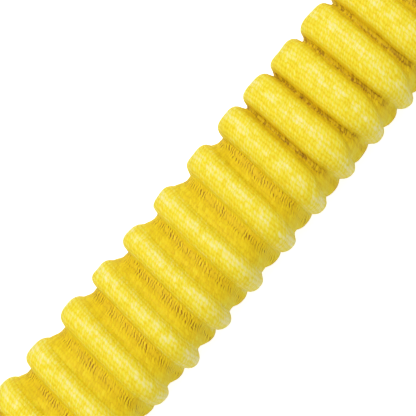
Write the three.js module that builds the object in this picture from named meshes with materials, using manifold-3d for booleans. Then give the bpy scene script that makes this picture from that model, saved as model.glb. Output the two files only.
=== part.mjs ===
// Tow rope handle for water sports, laid out straight as it lies on a deck.
// Millimetres. +X points from the rider to the boat, Y runs along the hand bar, +Z is up.
// The rider holds a foam gripped bar. A webbing bridle runs through the bar and meets in a
// point, a swivel takes the twist out, and a shock line takes the jerk: two elastic cords
// inside a gathered webbing sleeve. A snap hook goes on the boat's tow eye.
import * as THREE from 'three';
import { mergeVertices } from 'three/addons/utils/BufferGeometryUtils.js';
import Module from 'manifold-3d';

const wasm = await Module();
wasm.setup();

// ---- driving dimensions ----

// webbing of the bridle and of the tabs at both ends of the shock line
const STRAP_WIDTH = 20;
const STRAP_THICKNESS = 2;
const LOOP_ROOM = 0.5; // from a sewn loop to the round bar that it holds
const SIDE_ROOM = 0.5; // from a strap's edge to the bow that it sits in

// hand bar
const TUBE_LENGTH = 300;
const TUBE_WALL = 1.6;
const BORE_ROOM = 1.05; // from the strap's corners to the tube's bore
const GRIP_LENGTH = 276;
const GRIP_FOAM = 3.65;
const CAP_FLANGE = 4;
const CAP_PLUG = 14;
const CAP_LIP = 1.4; // how far the cap's flange stands out past the tube

// bridle
const BRIDLE_REACH = 205; // bar axis to the point where the legs meet
const BRIDLE_SEWN = 46; // where the two legs lie together
const BRIDLE_EYE_LENGTH = 12; // from the end of the sewing to the bar in the bridle's loop
const BRIDLE_BEND = 7; // centre line radius at the ends of the bar
const GUARD_LENGTH = 52;
const GUARD_WALL = 1.5;
const GUARD_ROOM = 1; // from the cap's flange
const KEEPER_LENGTH = 20;
const KEEPER_START = 8; // from the point where the legs meet

// swivel
const BOW_WIRE = 3; // radius of the round bar of both bows
const SHAFT_RADIUS = 3.5;
const EYE_BOSS_RADIUS = 7.4;
const EYE_BOSS_LENGTH = 6;
const EYE_DEPTH = 24; // from the eye's bar to the middle of its boss
const YOKE_HUB = 8;
const YOKE_HUB_HEIGHT = 13;
const YOKE_DEPTH = 26; // from the face of the hub to the yoke's bar
const WASHER_THICKNESS = 1.5;
const WASHER_RADIUS = 6.6;
const NUT_THICKNESS = 6;
const NUT_FLATS = 11; // across the flats
const SHAFT_TAIL = 1; // how far the riveted shaft stands out of the nut

// shock line
const SLEEVE_LENGTH = 270;
const SLEEVE_WIDTH = 26;
const SLEEVE_HEIGHT = 15.4;
const CORD_RADIUS = 4;
const CLAMP_WALL = 1;
const CLAMP_LENGTH = 13;
const CLAMP_SIDE_ROOM = 1.5; // from the tab's edge to the clamp
const COLLAR_WALL = 1;
const COLLAR_OVERLAP = 10; // how far a collar covers the sleeve
const COLLAR_TAIL = 2; // how far a collar goes past its clamp
const CORD_INSET = 1; // from the clamp's outer end to the cord's end
const TAB_FREE = 40; // from the bar in a tab's loop to the collar
const TAB_FORK = 12; // from where a tab's layers part to the collar
const TAB_LEVEL = 4; // the last stretch before the collar, where the tab lies level

// snap hook
const HOOK_ROD = 4; // radius
const HOOK_LENGTH = 66; // between the middles of the rod at both ends
const GATE_RADIUS = 3.5;
const GATE_HINGE = 15; // from the middle of the rod at the small end to the hinge pin
const TONGUE_THICKNESS = 3;
const TONGUE_ROOT = 2; // how far a tongue runs into the rod or the gate past its slot
const NOSE_REACH = 7; // length of the nose's tongue
const PIN_RADIUS = 1.2;
const SPRING_RADIUS = 1.35; // outside
const SPRING_WIRE = 0.3; // radius
const SPRING_TURNS = 7;
const SPRING_BORE = 17; // depth of its bore in the gate
const PLUNGER_LENGTH = 5;

// clearances
const GAP = 0.3; // between pieces that touch or are glued
const RUNNING = 0.08; // between a pin or shaft and its hole
const SLOT_ROOM = 0.3; // between a tongue and its slot, on each side

// ---- sizes that follow ----

const strapHalf = STRAP_WIDTH / 2;
const tubeBore = Math.hypot(strapHalf, STRAP_THICKNESS / 2) + BORE_ROOM;
const tubeRadius = tubeBore + TUBE_WALL;
const gripRadius = tubeRadius + GAP / 2 + GRIP_FOAM;
const capRadius = tubeRadius + CAP_LIP;
const bowHalf = strapHalf + SIDE_ROOM + BOW_WIRE; // middle of a bow's arms from its axis
const barHeight = Math.max(gripRadius, bowHalf + BOW_WIRE);

const cordOffset = CORD_RADIUS + GAP / 2;
const forkGap = CORD_RADIUS + GAP / 2; // from the cord's middle to a tab's inner face
const clampHalfHeight = forkGap + STRAP_THICKNESS + GAP + CLAMP_WALL;
const clampHalfWidth = Math.max(strapHalf, cordOffset + CORD_RADIUS) + CLAMP_SIDE_ROOM + CLAMP_WALL;
const collarHoleHeight = Math.max(clampHalfHeight, SLEEVE_HEIGHT / 2) + GAP;
const collarHoleWidth = Math.max(clampHalfWidth, SLEEVE_WIDTH / 2) + GAP;
const collarHalfHeight = collarHoleHeight + COLLAR_WALL;
const collarLength = COLLAR_OVERLAP + GAP + CLAMP_LENGTH + COLLAR_TAIL;
const shockHeight = collarHalfHeight;

const eyeX = BRIDLE_REACH + BRIDLE_SEWN + BRIDLE_EYE_LENGTH;
const hubX = eyeX + EYE_DEPTH + EYE_BOSS_LENGTH / 2 + GAP;
const washerX = hubX + YOKE_HUB + GAP;
const nutX = washerX + WASHER_THICKNESS + GAP;
const yokeBarX = hubX + YOKE_HUB + YOKE_DEPTH;
const handleCollarX = yokeBarX + TAB_FREE;
const sleeveX = handleCollarX + collarLength - COLLAR_OVERLAP;
const sleeveEndX = sleeveX + SLEEVE_LENGTH;
const boatCollarX = sleeveEndX - COLLAR_OVERLAP;
const hookX = boatCollarX + collarLength + TAB_FREE;

const hookHalf = strapHalf + SIDE_ROOM + HOOK_ROD;
const hookHeight = HOOK_ROD + LOOP_ROOM + STRAP_THICKNESS; // its strap loop lies on the deck
const hookTilt = Math.asin((hookHeight - HOOK_ROD) / HOOK_LENGTH);

// ---- materials ----

const material = (color, roughness, metalness = 0) =>
  new THREE.MeshStandardMaterial({ color, roughness, metalness });
const yellowWebbing = material(0xe9cf2b, 0.85);
const blackFoam = material(0x1d1e20, 0.9);
const blackRubber = material(0x17181a, 0.6);
const bareAluminium = material(0xb8bcc0, 0.35, 1);
const stainlessSteel = material(0xc4c7ca, 0.22, 1);
const springSteel = material(0x8f9396, 0.3, 1);
const elasticBraid = material(0x2b2c2e, 0.8);

// ---- how pieces are made ----

const towHandle = new THREE.Group();

function addPiece(name, geometry, itsMaterial, parent = towHandle) {
  const mesh = new THREE.Mesh(geometry, itsMaterial.clone());
  mesh.name = name;
  parent.add(mesh);
  return mesh;
}

function toSolid(geometry) {
  const bare = geometry.clone();
  bare.deleteAttribute('normal');
  bare.deleteAttribute('uv');
  const merged = mergeVertices(bare, 1e-4);
  const corners = merged.index.array;
  const triangles = [];
  for (let i = 0; i < corners.length; i += 3) {
    const [a, b, c] = corners.slice(i, i + 3);
    if (a !== b && b !== c && c !== a) triangles.push(a, b, c);
  }
  return new wasm.Manifold(new wasm.Mesh({
    numProp: 3,
    vertProperties: merged.attributes.position.array,
    triVerts: Uint32Array.from(triangles),
  }));
}

function toGeometry(solid) {
  const mesh = solid.getMesh();
  const geometry = new THREE.BufferGeometry();
  geometry.setAttribute('position', new THREE.BufferAttribute(mesh.vertProperties, 3));
  geometry.setIndex(new THREE.BufferAttribute(mesh.triVerts, 1));
  geometry.computeVertexNormals();
  return geometry;
}

const join = (...geometries) => toGeometry(geometries.map(toSolid).reduce((a, b) => a.add(b)));
const cut = (geometry, ...tools) =>
  toGeometry(tools.map(toSolid).reduce((a, b) => a.subtract(b), toSolid(geometry)));

// a turned piece: its profile gives [radius, place along the axis], and its axis is Y
function turned(profile, segments = 32) {
  return new THREE.LatheGeometry(profile.map(([r, y]) => new THREE.Vector2(r, y)), segments);
}

// a ring or tube with a bore, from one place along Y to another
function tubeAlongY(bore, radius, start, end, segments = 32) {
  return turned([[bore, start], [radius, start], [radius, end], [bore, end], [bore, start]], segments);
}

// a solid round bar from one place along Y to another
function barAlongY(radius, start, end, segments = 32) {
  return turned([[0, start], [radius, start], [radius, end], [0, end]], segments);
}

// turns what lies along Y so that it lies along X, or along Z
const yToX = (geometry) => geometry.rotateZ(-Math.PI / 2);
const yToZ = (geometry) => geometry.rotateX(Math.PI / 2);

// turns an extrusion so that its outline's width is along Y, its height along Z, and it runs along X
const crossSectionToX = new THREE.Matrix4().makeBasis(
  new THREE.Vector3(0, 1, 0), new THREE.Vector3(0, 0, 1), new THREE.Vector3(1, 0, 0));

const at = (x, y) => new THREE.Vector2(x, y);

// points on an arc, from one angle to another
function arc(x, y, radius, from, to, steps = 8) {
  return Array.from({ length: steps + 1 }, (_, i) => {
    const angle = from + ((to - from) * i) / steps;
    return at(x + radius * Math.cos(angle), y + radius * Math.sin(angle));
  });
}

// a closed outline that runs anticlockwise, without the points where one stretch starts on the
// end of the last
function outline(points, Kind = THREE.Shape) {
  const apart = 1e-3;
  const kept = points.filter((p, i) => p.distanceTo(points.at(i - 1)) > apart);
  return new Kind(THREE.ShapeUtils.isClockWise(kept) ? kept.reverse() : kept);
}

function roundedRectangle(halfWidth, halfHeight, radius, Kind = THREE.Shape) {
  const x = halfWidth - radius;
  const y = halfHeight - radius;
  const quarter = Math.PI / 2;
  return outline([
    ...arc(x, y, radius, 0, quarter, 6),
    ...arc(-x, y, radius, quarter, 2 * quarter, 6),
    ...arc(-x, -y, radius, 2 * quarter, 3 * quarter, 6),
    ...arc(x, -y, radius, 3 * quarter, 4 * quarter, 6),
  ], Kind);
}

// a straight piece along X with a rounded rectangular section, hollow if it has a hole
function sectionAlongX(shape, start, end) {
  const geometry = new THREE.ExtrudeGeometry(shape, {
    depth: end - start, bevelEnabled: false,
  });
  return geometry.applyMatrix4(crossSectionToX).translate(start, 0, 0);
}

// a round rod that follows points
function rodAlong(points, radius, sides, steps) {
  return new THREE.ExtrudeGeometry(outline(arc(0, 0, radius, 0, 2 * Math.PI, sides)), {
    steps,
    bevelEnabled: false,
    extrudePath: new THREE.CatmullRomCurve3(points, false, 'centripetal'),
  });
}

const smooth = (x, from, to) => THREE.MathUtils.smoothstep(x, from, to);

// ---- hand bar: aluminium tube, foam grip, moulded end caps ----

const tubeHalf = TUBE_LENGTH / 2;
const bar = new THREE.Group();
bar.position.z = barHeight;
towHandle.add(bar);

addPiece('handle_tube', tubeAlongY(tubeBore, tubeRadius, -tubeHalf, tubeHalf), bareAluminium, bar);

// the foam is rounded over at its ends
function gripProfile() {
  const half = GRIP_LENGTH / 2;
  const bore = tubeRadius + GAP / 2;
  const round = GRIP_FOAM * 0.6;
  const quarter = Math.PI / 2;
  const rim = [
    ...arc(gripRadius - round, round - half, round, -quarter, 0, 4),
    ...arc(gripRadius - round, half - round, round, 0, quarter, 4),
  ];
  return [[bore, -half], ...rim.map((p) => [p.x, p.y]), [bore, half], [bore, -half]];
}
addPiece('grip', turned(gripProfile(), 40), blackFoam, bar);

// a plug in the tube and a flange outside it, with a round mouth for the strap
function endCap(side) {
  const mouth = tubeBore - BORE_ROOM * 0.55;
  const plug = tubeBore - RUNNING;
  const face = tubeHalf + GAP;
  const outside = face + CAP_FLANGE;
  const round = CAP_FLANGE * 0.35;
  const profile = [
    [mouth, tubeHalf - CAP_PLUG], [plug, tubeHalf - CAP_PLUG], [plug, face], [capRadius, face],
    [capRadius, outside - round], [capRadius - round * 0.3, outside - round * 0.3],
    [capRadius - round, outside], [mouth + round, outside],
    [mouth + round * 0.3, outside - round * 0.3], [mouth, outside - round],
    [mouth, tubeHalf - CAP_PLUG],
  ];
  const geometry = turned(profile);
  return side > 0 ? geometry : geometry.rotateX(Math.PI);
}
addPiece('end_cap_left', endCap(1), blackRubber, bar);
addPiece('end_cap_right', endCap(-1), blackRubber, bar);

// ---- bridle: one strap through the bar, sewn to itself where its legs meet ----

const bendY = tubeHalf + GAP + CAP_FLANGE + 1;
const sewnHalf = STRAP_THICKNESS + GAP / 4;
const legDrop = bendY - sewnHalf / 2;
// the leg leaves the bend at this angle to the X axis, so that it meets the other at the reach
const legAngle = Math.atan2(legDrop, BRIDLE_REACH - BRIDLE_BEND)
  + Math.asin(BRIDLE_BEND / Math.hypot(legDrop, BRIDLE_REACH - BRIDLE_BEND));
const bendEnd = Math.PI / 2 - legAngle; // polar angle, about the bend's middle, where the leg starts
const onBend = (radius, angle) => at(
  BRIDLE_BEND + radius * Math.cos(angle), bendY + radius * Math.sin(angle));
const leftBend = (radius) => arc(BRIDLE_BEND, bendY, radius, Math.PI, bendEnd, 10);
const rightBend = (radius) => arc(BRIDLE_BEND, -bendY, radius, -bendEnd, -Math.PI, 10);

function bridleShape() {
  const outer = BRIDLE_BEND + STRAP_THICKNESS / 2;
  const inner = BRIDLE_BEND - STRAP_THICKNESS / 2;
  const loopHole = BOW_WIRE + LOOP_ROOM;
  const loop = loopHole + STRAP_THICKNESS;
  const loopStart = Math.PI * 0.62;
  const sewnStart = BRIDLE_REACH + STRAP_THICKNESS;

  const shape = outline([
    ...leftBend(outer),
    at(sewnStart, sewnHalf),
    at(eyeX - 3 * loop, sewnHalf),
    ...arc(eyeX, 0, loop, loopStart, -loopStart, 16),
    at(eyeX - 3 * loop, -sewnHalf),
    at(sewnStart, -sewnHalf),
    ...rightBend(outer),
  ]);
  const leg = onBend(inner, bendEnd);
  const handSpace = [...leftBend(inner), at(leg.x + leg.y / Math.tan(legAngle), 0), ...rightBend(inner)];
  const eye = [at(eyeX - 2.4 * loop, 0), ...arc(eyeX, 0, loopHole, loopStart, -loopStart, 14)];
  shape.holes.push(outline(handSpace, THREE.Path), outline(eye, THREE.Path));
  return shape;
}

const bridle = new THREE.ExtrudeGeometry(bridleShape(), { depth: STRAP_WIDTH, bevelEnabled: false });
addPiece('bridle_strap', bridle.translate(0, 0, barHeight - strapHalf), yellowWebbing);

// a rubber sleeve on a strap, of a given number of layers of webbing
function strapSleeve(start, end, strapHalfThickness) {
  const hole = [strapHalfThickness + GAP, strapHalf + GAP];
  const shape = roundedRectangle(hole[0] + GUARD_WALL, hole[1] + GUARD_WALL, GUARD_WALL);
  shape.holes.push(roundedRectangle(hole[0], hole[1], GUARD_WALL / 5, THREE.Path));
  return sectionAlongX(shape, start, end);
}

// a guard starts where its corner is clear of the cap's flange
const legStart = onBend(BRIDLE_BEND, bendEnd);
const guardHalf = STRAP_THICKNESS / 2 + GAP + GUARD_WALL;
const guardStart = (capRadius + GUARD_ROOM - legStart.x + guardHalf * Math.sin(legAngle))
  / Math.cos(legAngle);
for (const [name, side] of [['chafe_guard_left', 1], ['chafe_guard_right', -1]]) {
  const leg = new THREE.Group();
  leg.position.set(legStart.x, side * legStart.y, barHeight);
  leg.rotation.z = -side * legAngle;
  towHandle.add(leg);
  addPiece(name, strapSleeve(guardStart, guardStart + GUARD_LENGTH, STRAP_THICKNESS / 2), blackRubber, leg);
}

const keeperX = BRIDLE_REACH + KEEPER_START;
const keeper = strapSleeve(keeperX, keeperX + KEEPER_LENGTH, sewnHalf);
addPiece('bridle_keeper', keeper.translate(0, 0, barHeight), blackRubber);

// ---- swivel: an eye on a shaft that turns in the hub of a yoke ----

// a bow of round bar in the XZ plane: its straight bar is at x = 0 and its arms run to armEnd
function bow(armEnd, armEndHalf) {
  const corner = bowHalf - strapHalf;
  const path = new THREE.Path();
  path.moveTo(armEnd, armEndHalf);
  path.lineTo(2 * bowHalf / 3, bowHalf);
  path.lineTo(corner, bowHalf);
  path.absarc(corner, strapHalf, corner, Math.PI / 2, Math.PI);
  path.absarc(corner, -strapHalf, corner, Math.PI, 1.5 * Math.PI);
  path.lineTo(2 * bowHalf / 3, -bowHalf);
  path.lineTo(armEnd, -armEndHalf);
  const points = path.getSpacedPoints(44).map((p) => new THREE.Vector3(p.x, 0, p.y));
  return rodAlong(points, BOW_WIRE, 10, 44);
}

const swivel = new THREE.Group();
swivel.position.z = barHeight;
towHandle.add(swivel);

const shaftEnd = nutX + NUT_THICKNESS + SHAFT_TAIL;
const bossStart = hubX - GAP - EYE_BOSS_LENGTH;
const eyeShaft = yToX(turned([
  [0, bossStart], [EYE_BOSS_RADIUS, bossStart], [EYE_BOSS_RADIUS, hubX - GAP],
  [SHAFT_RADIUS, hubX - GAP], [SHAFT_RADIUS, shaftEnd], [0, shaftEnd],
], 24));
const eyeBow = bow(EYE_DEPTH, EYE_BOSS_RADIUS - BOW_WIRE).translate(eyeX, 0, 0);
addPiece('swivel_eye', join(eyeShaft, eyeBow), stainlessSteel, swivel);

const hubHole = SHAFT_RADIUS + RUNNING;
const hubShape = roundedRectangle(bowHalf + BOW_WIRE, YOKE_HUB_HEIGHT / 2, YOKE_HUB_HEIGHT / 2 - 0.5);
const yokeHub = sectionAlongX(hubShape, hubX, hubX + YOKE_HUB);
const yokeBow = bow(YOKE_DEPTH + YOKE_HUB / 2, bowHalf)
  .rotateX(Math.PI / 2).rotateZ(Math.PI).translate(yokeBarX, 0, 0);
const shaftWay = yToX(barAlongY(hubHole, hubX - 1, hubX + YOKE_HUB + 1, 24));
addPiece('swivel_yoke', cut(join(yokeHub, yokeBow), shaftWay), stainlessSteel, swivel);

addPiece('swivel_washer', yToX(
  tubeAlongY(hubHole, WASHER_RADIUS, washerX, washerX + WASHER_THICKNESS, 24)), stainlessSteel, swivel);

const nutShape = outline(arc(0, 0, NUT_FLATS / Math.sqrt(3), 0, 2 * Math.PI, 6));
nutShape.holes.push(outline(arc(0, 0, hubHole, 0, 2 * Math.PI, 24), THREE.Path));
addPiece('swivel_nut', sectionAlongX(nutShape, nutX, nutX + NUT_THICKNESS), stainlessSteel, swivel);

// ---- shock line: two elastic cords in a gathered sleeve, clamped and sewn to a tab at each end ----

// A tab is one strap folded round a bar and sewn to itself. Its two tails part again and hold
// the ends of the cords between them. It is drawn from the bar at x = 0 to its tails at +X.
function tabShape(barRadius, barZ) {
  const loopHole = barRadius + LOOP_ROOM;
  const loop = loopHole + STRAP_THICKNESS;
  const closed = 3 * loop; // where the two layers have come together
  const end = TAB_FREE + COLLAR_TAIL - CORD_INSET + CLAMP_LENGTH;
  const fork = TAB_FREE - TAB_FORK;
  const loopAngle = Math.PI * 0.38;
  const loopX = loop * Math.cos(loopAngle);
  const middle = (x) => barZ + (shockHeight - barZ) * smooth(x, loop, TAB_FREE - TAB_LEVEL);
  const tail = (x) => forkGap * smooth(x, fork, TAB_FREE);
  const half = (x) => STRAP_THICKNESS + tail(x)
    + (loop * Math.sin(loopAngle) - STRAP_THICKNESS) * (1 - smooth(x, loopX, closed));
  const along = (from, to, count) => Array.from(
    { length: count + 1 }, (_, i) => from + ((to - from) * i) / count);

  const face = (from, to, count, side, offset) => along(from, to, count)
    .map((x) => at(x, middle(x) + side * offset(x)));
  const shape = outline([
    ...face(loopX, end, 22, 1, half),
    ...face(end, fork + 2, 12, 1, tail),
    ...face(fork + 2, end, 12, -1, tail),
    ...face(end, loopX, 22, -1, half),
    ...arc(0, barZ, loop, -loopAngle, loopAngle - 2 * Math.PI, 16),
  ]);
  const eye = [at(2 * loop, barZ), ...arc(0, barZ, loopHole, loopAngle, 2 * Math.PI - loopAngle, 14)];
  shape.holes.push(outline(eye, THREE.Path));
  return shape;
}

function tab(barRadius, barZ) {
  return new THREE.ExtrudeGeometry(tabShape(barRadius, barZ), {
    depth: STRAP_WIDTH, bevelEnabled: false,
  }).rotateX(Math.PI / 2).translate(0, strapHalf, 0);
}

function hollowSection(halfWidth, halfHeight, radius, holeHalfWidth, holeHalfHeight, holeRadius) {
  const shape = roundedRectangle(halfWidth, halfHeight, radius);
  shape.holes.push(roundedRectangle(holeHalfWidth, holeHalfHeight, holeRadius, THREE.Path));
  return shape;
}

const clampShape = hollowSection(clampHalfWidth, clampHalfHeight, 2.5 * CLAMP_WALL,
  clampHalfWidth - CLAMP_WALL, clampHalfHeight - CLAMP_WALL, 1.5 * CLAMP_WALL);
const collarCorner = 3.6 * CLAMP_WALL; // follows the clamp's corners
const collarShape = hollowSection(collarHoleWidth + COLLAR_WALL, collarHalfHeight,
  collarCorner + COLLAR_WALL, collarHoleWidth, collarHoleHeight, collarCorner);
const cordRoom = cordOffset + CORD_RADIUS + GAP;
const sleeveShape = hollowSection(SLEEVE_WIDTH / 2, SLEEVE_HEIGHT / 2, SLEEVE_HEIGHT / 2 - 1.5,
  cordRoom, CORD_RADIUS + GAP, CORD_RADIUS);

const shockLine = new THREE.Group();
shockLine.position.z = shockHeight;
towHandle.add(shockLine);

addPiece('handle_end_tab', tab(BOW_WIRE, barHeight).translate(yokeBarX, 0, 0), yellowWebbing);
addPiece('boat_end_tab', tab(HOOK_ROD, hookHeight).rotateZ(Math.PI).translate(hookX, 0, 0), yellowWebbing);

const handleClampX = sleeveX - GAP - CLAMP_LENGTH;
const boatClampX = sleeveEndX + GAP;
addPiece('handle_end_clamp', sectionAlongX(
  clampShape, handleClampX, handleClampX + CLAMP_LENGTH), bareAluminium, shockLine);
addPiece('boat_end_clamp', sectionAlongX(
  clampShape, boatClampX, boatClampX + CLAMP_LENGTH), bareAluminium, shockLine);
addPiece('handle_end_collar', sectionAlongX(
  collarShape, handleCollarX, handleCollarX + collarLength), blackRubber, shockLine);
addPiece('boat_end_collar', sectionAlongX(
  collarShape, boatCollarX, boatCollarX + collarLength), blackRubber, shockLine);
addPiece('shock_sleeve', sectionAlongX(sleeveShape, sleeveX, sleeveEndX), yellowWebbing, shockLine);

const cordStart = handleClampX + CORD_INSET;
const cordEnd = boatClampX + CLAMP_LENGTH - CORD_INSET;
for (const [name, side] of [['elastic_cord_left', 1], ['elastic_cord_right', -1]]) {
  const cord = yToX(barAlongY(CORD_RADIUS, cordStart, cordEnd, 12));
  addPiece(name, cord.translate(0, side * cordOffset, 0), elasticBraid, shockLine);
}

// ---- snap hook: bent rod, gate on a pin, plunger and spring inside the gate ----

const hook = new THREE.Group();
hook.position.set(hookX, 0, hookHeight);
hook.rotation.y = hookTilt;
towHandle.add(hook);

const noseX = HOOK_LENGTH - hookHalf - TONGUE_ROOT;
const hingeEndX = GATE_HINGE - GATE_RADIUS - GAP;
const slotHalf = TONGUE_THICKNESS / 2 + SLOT_ROOM;
const tongueRadius = GATE_RADIUS - GAP;
const slotRoot = GATE_HINGE + GATE_RADIUS + GAP;
const gateEnd = noseX - GAP - 0.2;

function hookRod() {
  const corner = hookHalf - strapHalf;
  const path = new THREE.Path();
  path.moveTo(hingeEndX, hookHalf);
  path.lineTo(corner, hookHalf);
  path.absarc(corner, strapHalf, corner, Math.PI / 2, Math.PI);
  path.absarc(corner, -strapHalf, corner, Math.PI, 1.5 * Math.PI);
  path.absarc(HOOK_LENGTH - hookHalf, 0, hookHalf, -Math.PI / 2, Math.PI / 2);
  path.lineTo(noseX, hookHalf);
  const points = path.getSpacedPoints(72).map((p) => new THREE.Vector3(p.x, p.y, 0));
  return rodAlong(points, HOOK_ROD, 12, 72);
}

// a block that is centred on the gate's line, from one x to another
function blockOnGate(start, end, width, thickness) {
  return new THREE.BoxGeometry(end - start, width, thickness)
    .translate((start + end) / 2, hookHalf, 0);
}

// a round bar along Z on the hinge pin's axis
function onHinge(radius, halfLength, segments = 24) {
  return yToZ(barAlongY(radius, -halfLength, halfLength, segments)).translate(GATE_HINGE, hookHalf, 0);
}

const pinHole = onHinge(PIN_RADIUS + RUNNING, 2 * GATE_RADIUS);
const hingeTongue = join(
  blockOnGate(hingeEndX - TONGUE_ROOT, GATE_HINGE, 2 * tongueRadius, TONGUE_THICKNESS),
  onHinge(tongueRadius, TONGUE_THICKNESS / 2));
const noseTongue = blockOnGate(noseX - NOSE_REACH, noseX + TONGUE_ROOT, 2 * tongueRadius, TONGUE_THICKNESS);
addPiece('hook_body', cut(join(hookRod(), hingeTongue, noseTongue), pinHole), stainlessSteel, hook);

// the gate is turned from bar: a ball at the hinge, slots for both tongues, a bore for the spring
const springBore = SPRING_RADIUS + SLOT_ROOM;
const boreEnd = slotRoot + SPRING_BORE;
function gateBar() {
  const ball = arc(0, GATE_HINGE, GATE_RADIUS, -Math.PI / 2, 0, 4).map((p) => [p.x, p.y]);
  const profile = [...ball, [GATE_RADIUS, gateEnd], [0, gateEnd]];
  return yToX(turned(profile, 24)).translate(0, hookHalf, 0);
}
const gateSlots = [
  blockOnGate(GATE_HINGE - 2 * GATE_RADIUS, slotRoot, 3 * GATE_RADIUS, 2 * slotHalf),
  blockOnGate(noseX - NOSE_REACH - TONGUE_ROOT, gateEnd + TONGUE_ROOT, 3 * GATE_RADIUS, 2 * slotHalf),
];
const boreTool = yToX(barAlongY(springBore, slotRoot - 1, boreEnd, 16)).translate(0, hookHalf, 0);
addPiece('hook_gate', cut(gateBar(), ...gateSlots, pinHole, boreTool), stainlessSteel, hook);

addPiece('gate_pin', onHinge(PIN_RADIUS, GATE_RADIUS - 0.1, 20), stainlessSteel, hook);

const plunger = yToX(turned([
  [0, slotRoot], [SPRING_RADIUS * 0.7, slotRoot + 0.15], [SPRING_RADIUS, slotRoot + 0.8],
  [SPRING_RADIUS, slotRoot + PLUNGER_LENGTH], [0, slotRoot + PLUNGER_LENGTH],
], 16));
addPiece('gate_plunger', plunger.translate(0, hookHalf, 0), springSteel, hook);

const stepsPerTurn = 10;
const springStart = slotRoot + PLUNGER_LENGTH + GAP + SPRING_WIRE;
const springEnd = boreEnd - GAP - SPRING_WIRE;
const springPoints = [];
for (let i = 0; i <= SPRING_TURNS * stepsPerTurn; i += 1) {
  const angle = (2 * Math.PI * i) / stepsPerTurn;
  const middle = SPRING_RADIUS - SPRING_WIRE;
  springPoints.push(new THREE.Vector3(
    springStart + ((springEnd - springStart) * i) / (SPRING_TURNS * stepsPerTurn),
    hookHalf + middle * Math.cos(angle),
    middle * Math.sin(angle),
  ));
}
addPiece('gate_spring', rodAlong(springPoints, SPRING_WIRE, 6, springPoints.length - 1), springSteel, hook);

// ---- the origin is under the middle of the whole, on the surface that it lies on ----

const box = new THREE.Box3().setFromObject(towHandle, true);
const middle = box.getCenter(new THREE.Vector3());
towHandle.position.set(-middle.x, 0, 0);

export default towHandle;
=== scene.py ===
import math

import bmesh
import bpy
import numpy as np
from mathutils import Matrix, Vector, bvhtree


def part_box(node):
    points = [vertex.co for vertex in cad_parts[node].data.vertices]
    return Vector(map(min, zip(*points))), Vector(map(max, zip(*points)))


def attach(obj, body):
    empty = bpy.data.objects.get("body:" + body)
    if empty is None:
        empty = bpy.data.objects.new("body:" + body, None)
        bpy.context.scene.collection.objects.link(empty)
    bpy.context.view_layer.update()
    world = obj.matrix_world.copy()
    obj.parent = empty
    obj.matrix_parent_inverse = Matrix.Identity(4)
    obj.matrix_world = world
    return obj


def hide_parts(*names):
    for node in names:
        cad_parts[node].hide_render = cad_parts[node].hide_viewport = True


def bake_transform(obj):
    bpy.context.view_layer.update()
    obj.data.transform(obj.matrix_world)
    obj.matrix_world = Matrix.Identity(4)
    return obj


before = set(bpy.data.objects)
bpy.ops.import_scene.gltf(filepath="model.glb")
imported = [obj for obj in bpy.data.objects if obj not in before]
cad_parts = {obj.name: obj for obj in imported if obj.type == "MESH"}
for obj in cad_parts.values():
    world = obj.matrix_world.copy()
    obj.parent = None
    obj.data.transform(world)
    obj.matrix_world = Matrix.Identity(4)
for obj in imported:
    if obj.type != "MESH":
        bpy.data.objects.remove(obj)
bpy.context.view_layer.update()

MM = 0.001

# --------------------------------------------------------------------------------------
# Camera. It looks down on the middle of the gathered sleeve, leaning a little towards the
# sleeve's right edge, and is rolled so that the line runs from corner to corner.
# --------------------------------------------------------------------------------------
sleeve_low, sleeve_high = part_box("shock_sleeve")
sleeve_middle = (sleeve_low + sleeve_high) / 2

camera_data = bpy.data.cameras.new("camera")
camera_data.lens = 135
camera = bpy.data.objects.new("camera", camera_data)
bpy.context.scene.collection.objects.link(camera)
bpy.context.scene.camera = camera

CAMERA_ELEVATION = math.radians(71)
LINE_ANGLE = math.radians(50.3)       # the line's slope across the picture
VIEW_WIDTH = 80 * MM
SIDE_STEP = 4.2 * MM                  # from the line's middle to the picture's middle
level_up = Vector((0, math.sin(CAMERA_ELEVATION), math.cos(CAMERA_ELEVATION)))
towards_camera = Vector((0, -math.cos(CAMERA_ELEVATION), math.sin(CAMERA_ELEVATION)))
along_line = Vector((1, 0, 0))
camera_right = math.cos(LINE_ANGLE) * along_line - math.sin(LINE_ANGLE) * level_up
camera_up = math.sin(LINE_ANGLE) * along_line + math.cos(LINE_ANGLE) * level_up
camera_distance = VIEW_WIDTH * camera_data.lens / camera_data.sensor_width
camera_place = sleeve_middle + level_up * SIDE_STEP + towards_camera * camera_distance
turn = Matrix((camera_right, camera_up, towards_camera)).transposed().to_4x4()
camera.matrix_world = Matrix.Translation(camera_place) @ turn
camera_data.clip_start = 0.01
camera_data.clip_end = 20

# --------------------------------------------------------------------------------------
# Studio. A plain white floor under one large soft lamp, in an even white surround.
# --------------------------------------------------------------------------------------
bpy.context.scene.view_settings.view_transform = "Standard"
FLOOR_HALF_WIDTH = 6
FLOOR_DROP = 0.5 * MM                 # below the lowest pleats and ribs
FLOOR_GLOW = 0.74                     # as the camera sees it, so that the floor stays white
SURROUND_LIGHT = 0.56
SURROUND_SEEN = 0.5                   # added where the camera looks straight at the surround


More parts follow.
